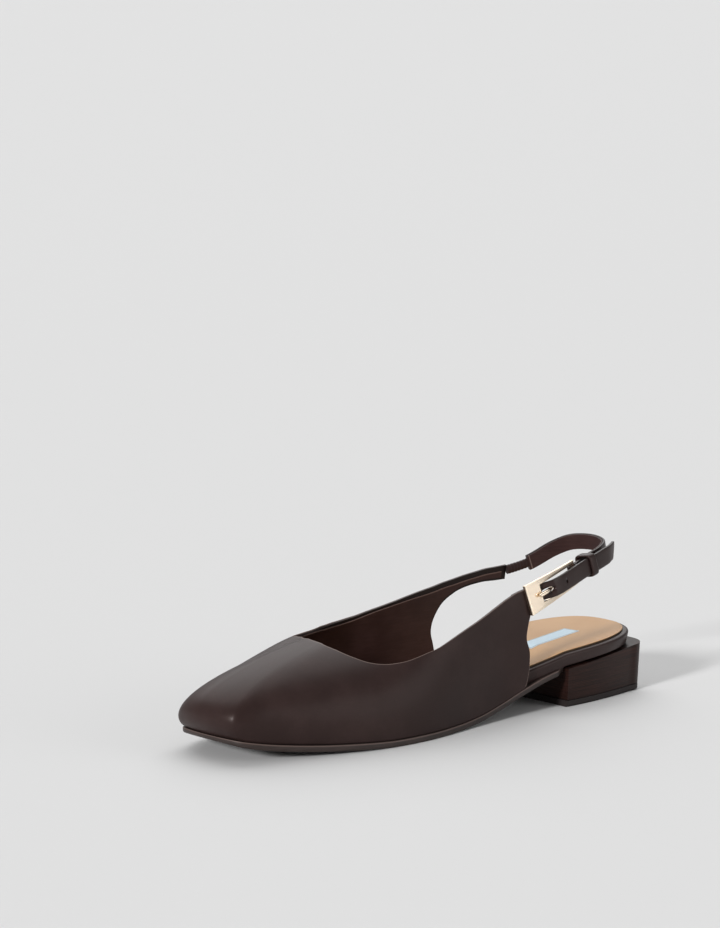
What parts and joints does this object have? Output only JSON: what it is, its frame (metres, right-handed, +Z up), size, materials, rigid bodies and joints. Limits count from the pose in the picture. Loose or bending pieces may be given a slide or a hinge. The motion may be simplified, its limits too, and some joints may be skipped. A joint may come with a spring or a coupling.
{
  "type": "flat slingback shoe",
  "caption": "Women's flat slingback shoe for the left foot: square-toed leather vamp and quarters, buckled sling with a prong, thin outsole, low stacked block heel.",
  "frame": {"origin": "on the floor, in the middle of the heel's rest face", "axes": "+X from the heel to the toe, +Y to the outer side of a left foot, +Z up"},
  "size_m": [0.2547, 0.0797, 0.0727],
  "materials": {
    "outsole": "smooth dark brown sole edge, satin",
    "heel_stack": "stained stacked leather look with fine level streaks, satin",
    "top_lift": "matte dark rubber",
    "rim_leather": "smooth dark brown leather, satin",
    "sock_leather": "smooth tan leather, light wear",
    "upper_leather": "smooth dark brown calf, soft gloss",
    "gathered_leather": "dark brown leather gathered over elastic",
    "strap_leather": "smooth dark brown leather with edge stitching",
    "pale_gold": "polished pale gold plating"
  },
  "bodies": {
    "root": {"outsole": "outsole", "heel_block": "heel_stack", "top_lift": "top_lift", "footbed": "rim_leather", "sock": "sock_leather", "upper": "upper_leather", "elastic_link": "gathered_leather", "sling_strap": "strap_leather", "keeper_loop": "strap_leather", "buckle_frame": "pale_gold", "buckle_prong": "pale_gold"}
  },
  "joints": []
}
